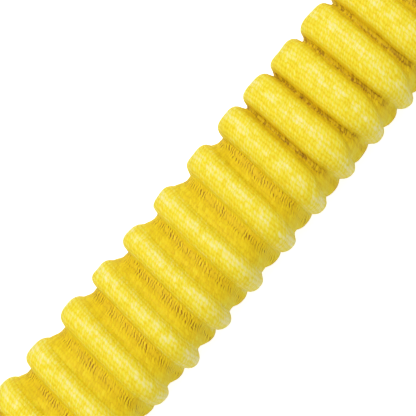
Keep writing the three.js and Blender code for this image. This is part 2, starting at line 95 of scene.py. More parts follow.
floor_mesh = bpy.data.meshes.new("floor")
floor_shape = bmesh.new()
bmesh.ops.create_grid(floor_shape, x_segments=1, y_segments=1, size=FLOOR_HALF_WIDTH,
                      matrix=Matrix.Translation((0, 0, -FLOOR_DROP)))
floor_shape.to_mesh(floor_mesh)
floor_shape.free()
floor = bpy.data.objects.new("floor", floor_mesh)
bpy.context.scene.collection.objects.link(floor)
white_floor = bpy.data.materials.new("white_floor")
white_floor.use_nodes = True
floor_shader = white_floor.node_tree.nodes["Principled BSDF"]
floor_shader.inputs["Base Color"].default_value = (0.9, 0.9, 0.9, 1)
floor_shader.inputs["Roughness"].default_value = 0.7
floor_shader.inputs["Emission Color"].default_value = (1, 1, 1, 1)
seen = white_floor.node_tree.nodes.new("ShaderNodeLightPath")
glow = white_floor.node_tree.nodes.new("ShaderNodeMath")
glow.operation = "MULTIPLY"
glow.inputs[1].default_value = FLOOR_GLOW
white_floor.node_tree.links.new(seen.outputs["Is Camera Ray"], glow.inputs[0])
white_floor.node_tree.links.new(glow.outputs[0], floor_shader.inputs["Emission Strength"])
floor_mesh.materials.append(white_floor)

world = bpy.data.worlds.new("studio")
world.use_nodes = True
surround = world.node_tree.nodes["Background"]
surround.inputs["Color"].default_value = (1, 1, 1, 1)
seen = world.node_tree.nodes.new("ShaderNodeLightPath")
shine = world.node_tree.nodes.new("ShaderNodeMath")
shine.operation = "MULTIPLY_ADD"
shine.inputs[1].default_value = SURROUND_SEEN
shine.inputs[2].default_value = SURROUND_LIGHT
world.node_tree.links.new(seen.outputs["Is Camera Ray"], shine.inputs[0])
world.node_tree.links.new(shine.outputs[0], surround.inputs["Strength"])
bpy.context.scene.world = world


def area_lamp(name, place, target, size, power):
    lamp_data = bpy.data.lights.new(name, "AREA")
    lamp_data.shape = "DISK"
    lamp_data.size = size
    lamp_data.energy = power
    lamp = bpy.data.objects.new(name, lamp_data)
    bpy.context.scene.collection.objects.link(lamp)
    lamp.location = place
    lamp.rotation_mode = "QUATERNION"
    lamp.rotation_quaternion = (target - Vector(place)).to_track_quat("-Z", "Y")


area_lamp("overhead_lamp", (0.4, 0.45, 1.45), sleeve_middle, 0.7, 10.5)
area_lamp("fill_lamp", (-0.8, -0.1, 1.2), sleeve_middle, 1.0, 4)

# --------------------------------------------------------------------------------------
# Shock sleeve. Flat woven polyester tube, pushed together over two elastic cords so that it
# stands up in rounded pleats across the line. Both ends are tucked into the collars.
# --------------------------------------------------------------------------------------
PLEAT_PITCH = [9.2, 8.7, 9.4, 8.6, 9.1, 8.9, 9.3, 8.7, 9.0,
               9.8, 10.3, 9.0, 9.4, 9.5, 9.9, 9.3, 8.2, 8.9, 8.7, 8.6,
               9.2, 8.4, 9.3, 8.8, 9.1, 8.5, 9.0, 8.8, 8.6]
PLEAT_OPEN = [0.5, 0.7, 0.3, 0.6, 0.8, 0.4, 0.6, 0.7, 0.5,
              0.9, 0.95, 0.9, 0.95, 0.95, 1.0, 0.75, 0.3, 0.2, 0.25, 0.3,
              0.5, 0.3, 0.6, 0.2, 0.5, 0.4, 0.6, 0.3, 0.5]
SHOWN_PLEAT = 14                      # the pleat just before the middle of the sleeve
AROUND = 96
ROWS_PER_PLEAT = 22
PLEAT_DEPTH = 3.0 * MM
EDGE_DEPTH = 2.2 * MM                 # the pleats stand less proud at the two folded edges
CLOTH_LIFT = 0.1 * MM                 # how far the ridges stand past the sleeve's plain sides
UNDER_SHIFT = 4.2 * MM                # the underside's ridges sit between those of the top
BORE_HALF_WIDTH = 9.3 * MM
BORE_HALF_HEIGHT = 4.5 * MM
BORE_SHARE = 0.8                      # the inner wall is pleated a little less
END_PITCH = 9 * MM                    # between the pleats hidden in the collars
SLACK_PITCH = 14 * MM                 # length of cloth in each of those pleats
FIRST_RIDGE = 4.5 * MM                # from the sleeve's middle back to the shown pleat's ridge
SECTION_POWER = 2.7                   # between an ellipse, 2, and a rectangle
SLANT = math.tan(math.radians(3.6))   # how far the pleats lean off square

sleeve_length = sleeve_high.x - sleeve_low.x
half_wide = (sleeve_high.y - sleeve_low.y) / 2
half_high = (sleeve_high.z - sleeve_low.z) / 2 + 1.2 * MM


def oval(half_width, half_height, power, count):
    """Points at even steps round a rounded oval, and which way each faces."""
    fine = np.linspace(0, 2 * np.pi, 4001)
    c, s = np.cos(fine), np.sin(fine)
    y = half_width * np.sign(c) * np.abs(c) ** (2 / power)
    z = half_height * np.sign(s) * np.abs(s) ** (2 / power)
    way = np.concatenate([[0], np.cumsum(np.hypot(np.diff(y), np.diff(z)))])
    even = np.linspace(0, way[-1], count + 1)
    y, z = np.interp(even, way, y), np.interp(even, way, z)
    ny = np.abs(y / half_width) ** (power - 1) * np.sign(y) / half_width
    nz = np.abs(z / half_height) ** (power - 1) * np.sign(z) / half_height
    size = np.hypot(ny, nz)
    return y, z, ny / size, nz / size


def smooth(value, low, high):
    t = np.clip((value - low) / (high - low), 0, 1)
    return t * t * (3 - 2 * t)


ridge_at = np.concatenate([[0], np.cumsum(PLEAT_PITCH)]) * MM
ridge_at += sleeve_length / 2 - FIRST_RIDGE - ridge_at[SHOWN_PLEAT]
valley_open = np.array(PLEAT_OPEN)


def pleat_number(x):
    """Whole numbers on the ridges, counted from the handle end."""
    where = np.interp(x, ridge_at, np.arange(len(ridge_at)))
    where = np.where(x < ridge_at[0], (x - ridge_at[0]) / END_PITCH, where)
    last = len(ridge_at) - 1
    return np.where(x > ridge_at[-1], last + (x - ridge_at[-1]) / END_PITCH, where)


def pleat_height(where, left):
    """From 0 in the bottom of a valley to 1 on a ridge. left is 1 at the tube's left edge, 0 in
    mid width and -1 at its right edge. A ridge is steep towards the handle and its other side
    runs out gently; it swells at the left edge and stays narrow at the right one."""
    valley = np.clip(np.floor(where).astype(int), 0, len(valley_open) - 1)
    phase = where - np.floor(where)
    openness = valley_open[valley] * (1 - 0.22 * np.clip(left, 0, 1) ** 3)
    openness = openness + (1.15 - openness) * np.clip(-left, 0, 1) ** 6
    deepest = 0.5 + 0.11 * openness
    before = deepest * (1 - openness) + 0.27 * openness
    after = (1 - deepest) * (1 - openness) + 0.28 * openness
    fullness = 3.2 - np.clip(openness, 0, 1) + 1.2 * np.clip(left, 0, 1) ** 4
    rise = np.sqrt(np.clip(1 - (phase / before) ** fullness, 0, 1))
    fall = np.sqrt(np.clip(1 - ((1 - phase) / after) ** fullness, 0, 1))
    shelf = (0.3 + 0.35 * np.clip(left, 0, 1) ** 2) * openness
    shelf = shelf * (1 - smooth(phase, 0.3, deepest)) * (phase < deepest)
    return np.clip((rise ** 4 + fall ** 4 + shelf ** 4) ** 0.25, 0, 1)


def ripple(a, b, seed):
    """Slow unevenness from a few sine waves."""
    draw = np.random.default_rng(seed)
    total = np.zeros(np.broadcast(a, b).shape)
    for _ in range(6):
        ka, kb, start = draw.uniform(-1, 1), draw.uniform(-1, 1), draw.uniform(0, 6.28)
        total = total + np.sin(ka * a + kb * b + start)
    return total / 6


# rows are closer together where the cloth is steep
fine_x = np.linspace(0, sleeve_length, 12001)
fine_stand = pleat_height(pleat_number(fine_x), 0) * PLEAT_DEPTH
fine_way = np.concatenate([[0], np.cumsum(np.hypot(np.diff(fine_x), 0.8 * np.diff(fine_stand)))])


def sleeve_wall(across, along, half_width, half_height, share):
    """Places on one face of the cloth. across and along run from 0 to 1."""
    y, z, ny, nz = oval(half_width, half_height, SECTION_POWER, AROUND)
    column = np.rint(across * AROUND).astype(int)
    y, z, ny, nz = y[column], z[column], ny[column], nz[column]
    x = np.interp(along * fine_way[-1], fine_way, fine_x)
    left = y / half_width
    from_end = np.minimum(x, sleeve_length - x)
    wander = 0.5 * MM * ripple(x / (5 * MM), y / (5 * MM), 3)
    number = pleat_number(x + wander)
    top = pleat_height(number, left) * smooth(nz, -0.75, -0.25)
    under = pleat_height(pleat_number(x + UNDER_SHIFT - wander), -np.abs(left))
    under = under * smooth(-nz, -0.15, 0.25) * (0.6 + 0.4 * smooth(-nz, 0.4, 0.9))
    depth = EDGE_DEPTH + (PLEAT_DEPTH - EDGE_DEPTH) * np.abs(nz) ** 1.5
    uneven = 1 + 0.08 * ripple(x / (6 * MM), y / (7 * MM), 5)
    stand = np.maximum(top, under) * depth * uneven
    frayed = 0.1 * MM + 0.22 * MM * np.abs(left) ** 6
    stand = stand + frayed * ripple(x / (0.55 * MM), y / (2.5 * MM) + z / (1.1 * MM), 8)
    # the ends are pressed down where they go into the collars
    loose = smooth(from_end, 8 * MM, 15 * MM)
    stand = share * (stand * loose + (1 - loose) * 1.1 * MM)
    x = x + SLANT * y * smooth(from_end, 0, 14 * MM)
    return np.stack([x + sleeve_low.x, y + ny * stand, z + nz * stand + sleeve_middle.z], -1), number


def tube_of_cloth(name, rows, place_of):
    """A flat grid rolled into a tube. Its UV map runs with the cloth: round it, and along it as
    the cloth lies, so that a whole number is a ridge and the rows between are evenly spaced."""
    shape = bmesh.new()
    bmesh.ops.create_grid(shape, x_segments=AROUND, y_segments=rows, size=1)
    mesh = bpy.data.meshes.new(name)
    shape.to_mesh(mesh)
    shape.free()
    flat = np.empty(len(mesh.vertices) * 3)
    mesh.vertices.foreach_get("co", flat)
    flat = flat.reshape(-1, 3)
    across, along = (flat[:, 0] + 1) / 2, (flat[:, 1] + 1) / 2
    place, number = place_of(across, along)
    mesh.vertices.foreach_set("co", place.astype(np.float32).ravel())
    column = np.rint(across * AROUND).astype(int)
    row = np.rint(along * rows).astype(int)
    table = np.empty((AROUND + 1, rows + 1), dtype=int)
    table[column, row] = np.arange(len(across))
    woven = np.empty(len(across))
    for line in table:
        step = np.linalg.norm(np.diff(place[line], axis=0), axis=1)
        way = np.concatenate([[0], np.cumsum(step)])
        ridges = np.arange(math.ceil(number[line[0]]), math.floor(number[line[-1]]) + 1)
        ridge_way = np.interp(ridges, np.maximum.accumulate(number[line]), way)
        woven[line] = np.interp(way, ridge_way, ridges)
        before, beyond = way < ridge_way[0], way > ridge_way[-1]
        woven[line[before]] = ridges[0] - (ridge_way[0] - way[before]) / SLACK_PITCH
        woven[line[beyond]] = ridges[-1] + (way[beyond] - ridge_way[-1]) / SLACK_PITCH
    corner = np.empty(len(mesh.loops), dtype=np.int32)
    mesh.loops.foreach_get("vertex_index", corner)
    uv = np.stack([across[corner], woven[corner]], -1)
    mesh.uv_layers.new(name="cloth").data.foreach_set("uv", uv.astype(np.float32).ravel())
    valley = np.clip(np.floor(number).astype(int), 0, len(valley_open) - 1)
    tight = 1 - smooth(valley_open[valley], 0.3, 0.7)
    mesh.attributes.new("tight", "FLOAT", "POINT").data.foreach_set("value", tight.astype(np.float32))
    return mesh


sleeve_shape = bmesh.new()
for wall in (
    tube_of_cloth("outside", ROWS_PER_PLEAT * 30, lambda across, along: sleeve_wall(
        across, along, half_wide - EDGE_DEPTH + CLOTH_LIFT, half_high - PLEAT_DEPTH + CLOTH_LIFT, 1)),
    tube_of_cloth("inside", ROWS_PER_PLEAT * 15, lambda across, along: sleeve_wall(
        across, along, BORE_HALF_WIDTH, BORE_HALF_HEIGHT, BORE_SHARE)),
):
    sleeve_shape.from_mesh(wall)
    bpy.data.meshes.remove(wall)
bmesh.ops.remove_doubles(sleeve_shape, verts=sleeve_shape.verts, dist=1e-6)
open_edges = [e for e in sleeve_shape.edges if e.is_boundary]
for end in (sleeve_low.x, sleeve_high.x):
    bmesh.ops.bridge_loops(sleeve_shape, edges=[
        e for e in open_edges if abs(e.verts[0].co.x - end) < 1 * MM])
bmesh.ops.recalc_face_normals(sleeve_shape, faces=sleeve_shape.faces)
for face in sleeve_shape.faces:
    face.smooth = True
sleeve_mesh = bpy.data.meshes.new("gathered_sleeve")
sleeve_shape.to_mesh(sleeve_mesh)
sleeve_shape.free()
gathered_sleeve = bpy.data.objects.new("gathered_sleeve", sleeve_mesh)
bpy.context.scene.collection.objects.link(gathered_sleeve)


def math_node(group, operation, a, b=None, c=None):
    node = group.nodes.new("ShaderNodeMath")
    node.operation = operation
    for socket, value in zip(node.inputs, (a, b, c)):
        if isinstance(value, (int, float)):
            socket.default_value = value
        elif value is not None:
            group.links.new(value, socket)
    return node.outputs[0]


def step_node(group, value, low, high):
    node = group.nodes.new("ShaderNodeMapRange")
    node.interpolation_type = "SMOOTHSTEP"
    group.links.new(value, node.inputs["Value"])
    node.inputs["From Min"].default_value = low
    node.inputs["From Max"].default_value = high
    return node.outputs["Result"]


def new_group(name, inputs, outputs):
    group = bpy.data.node_groups.new(name, "ShaderNodeTree")
    for socket, value in inputs.items():
        kind = "NodeSocketVector" if value is None else "NodeSocketFloat"
        made = group.interface.new_socket(socket, in_out="INPUT", socket_type=kind)
        if value is not None:
            made.default_value = value
    for socket in outputs:
        group.interface.new_socket(socket, in_out="OUTPUT", socket_type="NodeSocketFloat")
    return group, group.nodes.new("NodeGroupInput").outputs, group.nodes.new("NodeGroupOutput").inputs


# The weave. Every yarn floats over one row and dives under the next, so that each row is a
# line of short slanted stitches, set half a stitch over from the row before.
weave, given, result = new_group(
    "woven_yarns", {"Cloth": None, "Yarns": 78, "Rows": 13, "Slant": 0.5},
    ("Height", "Float", "Between", "Fibre", "Stitch"))
split = weave.nodes.new("ShaderNodeSeparateXYZ")
weave.links.new(given["Cloth"], split.inputs[0])
rows = math_node(weave, "MULTIPLY", split.outputs["Y"], given["Rows"])
drift_place = weave.nodes.new("ShaderNodeCombineXYZ")
weave.links.new(math_node(weave, "MULTIPLY", split.outputs["X"], given["Yarns"]), drift_place.inputs[0])
weave.links.new(rows, drift_place.inputs[1])
drift = weave.nodes.new("ShaderNodeTexNoise")
drift.inputs["Scale"].default_value = 0.45
drift.inputs["Detail"].default_value = 1.0
weave.links.new(drift_place.outputs[0], drift.inputs["Vector"])
drift_axes = weave.nodes.new("ShaderNodeSeparateColor")
weave.links.new(drift.outputs["Color"], drift_axes.inputs[0])
rows = math_node(weave, "MULTIPLY_ADD", drift_axes.outputs[0], 0.9, rows)
row_phase = math_node(weave, "FRACT", rows)
row_number = math_node(weave, "FLOOR", rows)
lean = math_node(weave, "MULTIPLY", row_phase, given["Slant"])
stagger = math_node(weave, "MULTIPLY_ADD", row_number, 0.5, lean)
stagger = math_node(weave, "MULTIPLY_ADD", drift_axes.outputs[1], 1.6, stagger)
yarns = math_node(weave, "MULTIPLY_ADD", split.outputs["X"], given["Yarns"], stagger)
yarn_phase = math_node(weave, "FRACT", yarns)
row_round = math_node(weave, "SINE", math_node(weave, "MULTIPLY", row_phase, math.pi))
yarn_round = math_node(weave, "SINE", math_node(weave, "MULTIPLY", yarn_phase, math.pi))
row_full = math_node(weave, "POWER", row_round, 0.6)
yarn_full = math_node(weave, "POWER", yarn_round, 0.8)
height = math_node(weave, "MULTIPLY", row_full, math_node(weave, "MULTIPLY_ADD", yarn_full, 0.6, 0.4))
weave.links.new(height, result["Height"])
corner_gap = math_node(weave, "MULTIPLY", math_node(weave, "SUBTRACT", 1, row_full),
                       math_node(weave, "SUBTRACT", 1, yarn_full))
raised_yarn = math_node(weave, "MULTIPLY", row_full, yarn_full)
raised_yarn = math_node(weave, "MULTIPLY_ADD", raised_yarn, 0.45, 0.45)
weave.links.new(math_node(weave, "MULTIPLY_ADD", corner_gap, -2.2, raised_yarn), result["Float"])
between = math_node(weave, "POWER", math_node(weave, "SUBTRACT", 1, yarn_full), 1.3)
weave.links.new(math_node(weave, "MULTIPLY", between, row_full), result["Between"])
stitch_place = weave.nodes.new("ShaderNodeCombineXYZ")
weave.links.new(math_node(weave, "FLOOR", yarns), stitch_place.inputs[0])
weave.links.new(row_number, stitch_place.inputs[1])
stitch = weave.nodes.new("ShaderNodeTexWhiteNoise")
stitch.noise_dimensions = "2D"
weave.links.new(stitch_place.outputs[0], stitch.inputs["Vector"])
weave.links.new(stitch.outputs["Value"], result["Stitch"])
fibre_place = weave.nodes.new("ShaderNodeCombineXYZ")
weave.links.new(math_node(weave, "MULTIPLY", yarns, 3.1), fibre_place.inputs[0])
weave.links.new(math_node(weave, "MULTIPLY", rows, 0.8), fibre_place.inputs[1])
fibre = weave.nodes.new("ShaderNodeTexNoise")
fibre.inputs["Scale"].default_value = 1.0
fibre.inputs["Detail"].default_value = 2.0
weave.links.new(fibre_place.outputs[0], fibre.inputs["Vector"])
weave.links.new(fibre.outputs["Fac"], result["Fibre"])

# Masks for the gathered cloth. The ridges and the tube's two folded edges get a painted highlight; the
# valley bottoms and the hollows get painted shade.
# In the bottom of the valleys the yarns are also pushed apart, and in the hollows the weave lies
# flatter.
gather, given, result = new_group(
    "gathered_folds_and_painted_light", {"Cloth": None}, ("Crest_Highlight", "Valley_Gaps_And_Shade", "Hollow_Flattening_And_Shade", "Edge_Highlight"))
split = gather.nodes.new("ShaderNodeSeparateXYZ")
gather.links.new(given["Cloth"], split.inputs[0])
# Painted highlight: a pale band along each ridge, just off its crest, broken into patches.
phase = math_node(gather, "FRACT", math_node(gather, "ADD", split.outputs["Y"], 0.46))
from_crest = math_node(gather, "ABSOLUTE", math_node(gather, "SUBTRACT", phase, 0.5))
crest = step_node(gather, math_node(gather, "SUBTRACT", 0.5, from_crest), 0.37, 0.47)
patch_place = gather.nodes.new("ShaderNodeCombineXYZ")
gather.links.new(math_node(gather, "MULTIPLY", split.outputs["X"], 30), patch_place.inputs[0])
gather.links.new(math_node(gather, "MULTIPLY", split.outputs["Y"], 5), patch_place.inputs[1])
patch = gather.nodes.new("ShaderNodeTexNoise")
patch.inputs["Scale"].default_value = 1.0
patch.inputs["Detail"].default_value = 2.0
gather.links.new(patch_place.outputs[0], patch.inputs["Vector"])
highlight_patches = step_node(gather, patch.outputs["Fac"], 0.34, 0.60)
gather.links.new(math_node(gather, "MULTIPLY", crest, highlight_patches), result["Crest_Highlight"])
# The bottom of each valley: painted shade there, and the dark gaps of the pushed-apart yarns.
deep_phase = math_node(gather, "FRACT", split.outputs["Y"])
from_deep = math_node(gather, "ABSOLUTE", math_node(gather, "SUBTRACT", deep_phase, 0.54))
deep = math_node(gather, "SUBTRACT", 1, step_node(gather, from_deep, 0.02, 0.13))
gather.links.new(deep, result["Valley_Gaps_And_Shade"])
# The hollow before each ridge: the weave is flattened there, and it is painted darker as shade.
from_hollow = math_node(gather, "ABSOLUTE", math_node(gather, "SUBTRACT", deep_phase, 0.48))
hollow = math_node(gather, "SUBTRACT", 1, step_node(gather, from_hollow, 0.13, 0.27))
gather.links.new(hollow, result["Hollow_Flattening_And_Shade"])
# Painted highlight: pale bands along the tube's two folded edges.
fold = math_node(gather, "ABSOLUTE", math_node(gather, "SUBTRACT", math_node(
    gather, "FRACT", math_node(gather, "MULTIPLY", split.outputs["X"], 2)), 0.5))
gather.links.new(step_node(gather, fold, 0.34, 0.47), result["Edge_Highlight"])


def ramp_node(material, value, stops):
    node = material.node_tree.nodes.new("ShaderNodeValToRGB")
    material.node_tree.links.new(value, node.inputs["Fac"])
    while len(node.color_ramp.elements) < len(stops):
        node.color_ramp.elements.new(0.5)
    for element, (position, colour) in zip(node.color_ramp.elements, stops):
        element.position = position
        element.color = (*colour, 1)
    return node.outputs["Color"]


def webbing_material(name, yarns, rows, slant, stops, bump_distance, gathered=False):
    material = bpy.data.materials.new(name)
    material.use_nodes = True
    tree = material.node_tree
    shader = tree.nodes["Principled BSDF"]
    cloth = tree.nodes.new("ShaderNodeUVMap")
    cloth.uv_map = "cloth"
    woven = tree.nodes.new("ShaderNodeGroup")
    woven.node_tree = weave
    tree.links.new(cloth.outputs[0], woven.inputs["Cloth"])
    for socket, value in (("Yarns", yarns), ("Rows", rows), ("Slant", slant)):
        woven.inputs[socket].default_value = value
    relief = woven.outputs["Height"]
    raised = math_node(tree, "POWER", math_node(
        tree, "MAXIMUM", woven.outputs["Float"], 0), 1.6)
    if gathered:
        folds_and_light = tree.nodes.new("ShaderNodeGroup")
        folds_and_light.node_tree = gather
        tree.links.new(cloth.outputs[0], folds_and_light.inputs["Cloth"])
        flattened = math_node(tree, "MULTIPLY", folds_and_light.outputs["Hollow_Flattening_And_Shade"], 0.6)
        to_even = math_node(tree, "SUBTRACT", 0.42, raised)
        raised = math_node(tree, "MULTIPLY_ADD", flattened, to_even, raised)
        relief = math_node(tree, "MULTIPLY", relief, math_node(tree, "SUBTRACT", 1, flattened))
    tone = math_node(tree, "MULTIPLY_ADD", raised, 0.31, 0.13)
    tone = math_node(tree, "MULTIPLY_ADD", woven.outputs["Fibre"], 0.28, tone)
    tone = math_node(tree, "MULTIPLY_ADD", woven.outputs["Stitch"], 0.18, tone)
    if gathered:
        # painted highlight on the ridges and on the folded edges
        tone = math_node(tree, "MULTIPLY_ADD", folds_and_light.outputs["Crest_Highlight"], 0.21, tone)
        tone = math_node(tree, "MULTIPLY_ADD", folds_and_light.outputs["Edge_Highlight"], 0.17, tone)
        tight = tree.nodes.new("ShaderNodeAttribute")
        tight.attribute_name = "tight"
        torn = step_node(tree, woven.outputs["Stitch"], 0.45, 0.7)
        gap = math_node(tree, "MULTIPLY", woven.outputs["Between"], torn)
        gap = math_node(tree, "MULTIPLY", gap, 0.8)
        gap = math_node(tree, "MULTIPLY", gap, math_node(tree, "SUBTRACT", 1, tight.outputs["Fac"]))
        # painted shade in the valley bottoms, deeper in tight clefts, added to the dark gaps of the
        # pushed-apart yarns
        cleft_shade = math_node(tree, "MULTIPLY_ADD", tight.outputs["Fac"], 0.12, 0.06)
        gaps_and_shade = math_node(tree, "MULTIPLY", math_node(tree, "ADD", gap, cleft_shade), folds_and_light.outputs["Valley_Gaps_And_Shade"])
        tone = math_node(tree, "SUBTRACT", tone, gaps_and_shade)
        # painted shade in the hollows
        tone = math_node(tree, "MULTIPLY_ADD", folds_and_light.outputs["Hollow_Flattening_And_Shade"], -0.19, tone)
    tree.links.new(ramp_node(material, tone, stops), shader.inputs["Base Color"])
    bump = tree.nodes.new("ShaderNodeBump")
    bump.inputs["Distance"].default_value = bump_distance
    bump.inputs["Strength"].default_value = 0.45
    tree.links.new(relief, bump.inputs["Height"])
    tree.links.new(bump.outputs["Normal"], shader.inputs["Normal"])
    shader.inputs["Roughness"].default_value = 0.6
    shader.inputs["Subsurface Weight"].default_value = 0.2
    shader.inputs["Subsurface Radius"].default_value = (1, 0.62, 0.06)
    shader.inputs["Subsurface Scale"].default_value = 1.4 * MM
    shader.inputs["Specular IOR Level"].default_value = 0.18
    shader.inputs["Sheen Weight"].default_value = 0.05
    shader.inputs["Sheen Roughness"].default_value = 0.5
    shader.inputs["Sheen Tint"].default_value = (1, 0.85, 0.3, 1)
    return material


# Yarn colours. The darkest and palest stops also give the sleeve's painted shade and painted highlight.
YELLOW_YARN_AND_PAINTED_LIGHT = ((0.0, (0.30, 0.14, 0.003)), (0.16, (0.71, 0.48, 0.005)), (0.36, (0.84, 0.63, 0.009)),
               (0.56, (0.88, 0.73, 0.04)), (0.95, (0.92, 0.84, 0.38)))
sleeve_mesh.materials.append(webbing_material(
    "gathered_yellow_webbing", 88, 13, 0.8, YELLOW_YARN_AND_PAINTED_LIGHT, 0.14 * MM, gathered=True))

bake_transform(gathered_sleeve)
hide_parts("shock_sleeve")

# --------------------------------------------------------------------------------------
# Elastic cords. Two latex cores in a tight dark braid, side by side inside the sleeve; both
# ends are held between the tails of a tab, in a clamp.
# --------------------------------------------------------------------------------------
def link_piece(name, mesh, material):
    mesh.materials.append(material)
    piece = bpy.data.objects.new(name, mesh)
    bpy.context.scene.collection.objects.link(piece)
    return piece


BLACK_YARN = ((0.0, (0.006, 0.006, 0.007)), (0.4, (0.022, 0.023, 0.025)), (0.8, (0.07, 0.07, 0.075)))
BRAID_REPEATS = 29                    # of the braid's pattern along a cord
CORD_SIDES = 24
CORD_RINGS = 150
braid = webbing_material("elastic_braid", 12, 9, 1.0, BLACK_YARN, 0.2 * MM)
for side in ("left", "right"):
    low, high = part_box("elastic_cord_" + side)
    middle, cord_radius = (low + high) / 2, (high.z - low.z) / 2
    cord_shape = bmesh.new()
    bmesh.ops.create_grid(cord_shape, x_segments=CORD_SIDES, y_segments=CORD_RINGS, size=1)
    braid_map = cord_shape.loops.layers.uv.new("cloth")
    for face in cord_shape.faces:
        for loop in face.loops:
            loop[braid_map].uv = ((loop.vert.co.x + 1) / 2, (loop.vert.co.y + 1) / 2 * BRAID_REPEATS)
    for vert in cord_shape.verts:
        angle, along = math.pi * vert.co.x, (vert.co.y + 1) / 2
        vert.co = (low.x + along * (high.x - low.x), middle.y + cord_radius * math.cos(angle),
                   middle.z + cord_radius * math.sin(angle))
    bmesh.ops.remove_doubles(cord_shape, verts=cord_shape.verts, dist=1e-6)
    bmesh.ops.holes_fill(cord_shape, edges=cord_shape.edges, sides=0)
    bmesh.ops.recalc_face_normals(cord_shape, faces=cord_shape.faces)
    for face in cord_shape.faces:
        face.smooth = len(face.verts) == 4
    cord_mesh = bpy.data.meshes.new("cord_" + side)
    cord_shape.to_mesh(cord_mesh)
    cord_shape.free()
    cord = link_piece("braided_cord_" + side, cord_mesh, braid)
    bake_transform(cord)
    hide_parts("elastic_cord_" + side)

# --------------------------------------------------------------------------------------
# Bridle. One flat yellow strap, woven like the sleeve but with smaller rows. It stands on
# edge, runs through the hand bar and is sewn to itself round the swivel's eye.
# --------------------------------------------------------------------------------------
def shape_of(node, clean=True):
    shape = bmesh.new()
    shape.from_mesh(bpy.data.objects[node].data)
    bmesh.ops.remove_doubles(shape, verts=shape.verts, dist=2e-6)
    if clean:
        bmesh.ops.dissolve_limit(shape, angle_limit=math.radians(0.6),
                                 verts=shape.verts, edges=shape.edges)
    return shape


def soften(shape, width, over=45, segments=2):
    sharp = [e for e in shape.edges if len(e.link_faces) == 2
             and e.calc_face_angle(0) > math.radians(over)]
    bmesh.ops.bevel(shape, geom=sharp, offset=width, offset_type="OFFSET", segments=segments,
                    profile=0.5, affect="EDGES", clamp_overlap=True, material=-1)
    bmesh.ops.triangulate(shape, faces=[f for f in shape.faces if len(f.verts) > 4])
    bmesh.ops.recalc_face_normals(shape, faces=shape.faces)
    for face in shape.faces:
        face.smooth = True


def finish_piece(name, shape, node, body, material, smooth_under=50):
    mesh = bpy.data.meshes.new(name)
    shape.to_mesh(mesh)
    shape.free()
    mesh.set_sharp_from_angle(angle=math.radians(smooth_under))
    piece = link_piece(name, mesh, material)
    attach(piece, body)
    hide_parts(node)
    return piece


def way_along(point, path):
    """How far along a path the point nearest to this one lies, and how far to its side."""
    best = (1e9, 0, 0)
    way = 0
    for start, end in zip(path, path[1:]):
        step = end - start
        share = min(max((point - start).dot(step) / step.length_squared, 0), 1)
        away = point - start - step * share
        if away.length < best[0]:
            best = (away.length, way + share * step.length, away.length)
        way += step.length
    return best[1], best[2]


bar_low, bar_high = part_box("grip")
bar_x, bar_z = (bar_low.x + bar_high.x) / 2, (bar_low.z + bar_high.z) / 2
strap_low, strap_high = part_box("bridle_strap")
BEND = 7 * MM                         # radius of the strap's bend at each end of the bar
BEND_Y = 155.3 * MM
LEG_ANGLE = math.radians(39.52)       # of each leg to the line
LEG_END = 205 * MM                    # from the bar to where the two legs meet
SEAM_OFFSET = 1 * MM
STRAP_WIDTH = 20 * MM
WEAVE_REPEAT = 10 * MM                # of the webbing's pattern along the strap
bend_middle = Vector((bar_x + BEND, BEND_Y))
bend_way = [math.pi + (math.pi / 2 - LEG_ANGLE - math.pi) * i / 10 for i in range(11)]
strap_path = [Vector((bar_x, 0))]
strap_path += [bend_middle + BEND * Vector((math.cos(a), math.sin(a))) for a in bend_way]
strap_path += [Vector((bar_x + LEG_END, SEAM_OFFSET)), Vector((strap_high.x, SEAM_OFFSET))]

strap_shape = shape_of("bridle_strap")
soften(strap_shape, 0.6 * MM, over=60)
cloth_map = strap_shape.loops.layers.uv.new("cloth")
for face in strap_shape.faces:
    for loop in face.loops:
        co = loop.vert.co
        way, away = way_along(Vector((co.x, abs(co.y))), strap_path)
        loop[cloth_map].uv = ((co.z - strap_low.z + away) / STRAP_WIDTH, way / WEAVE_REPEAT)
flat_webbing = webbing_material("flat_yellow_webbing", 24, 8, 0.5, YELLOW_YARN_AND_PAINTED_LIGHT, 0.16 * MM)
finish_piece("bridle_webbing", strap_shape, "bridle_strap", "bridle", flat_webbing)


# Stitches of thick bonded thread. Each is a short bead let into the webbing's face.
GOLDEN_THREAD = ((0.0, (0.30, 0.16, 0.004)), (0.5, (0.62, 0.40, 0.012)), (0.9, (0.85, 0.68, 0.12)))
thread = webbing_material("bonded_thread", 3, 9, 1.0, GOLDEN_THREAD, 0.1 * MM)
STITCH = 2.2 * MM
THREAD_RADIUS = 0.42 * MM
SEAM_HALF_WIDTH = 7 * MM


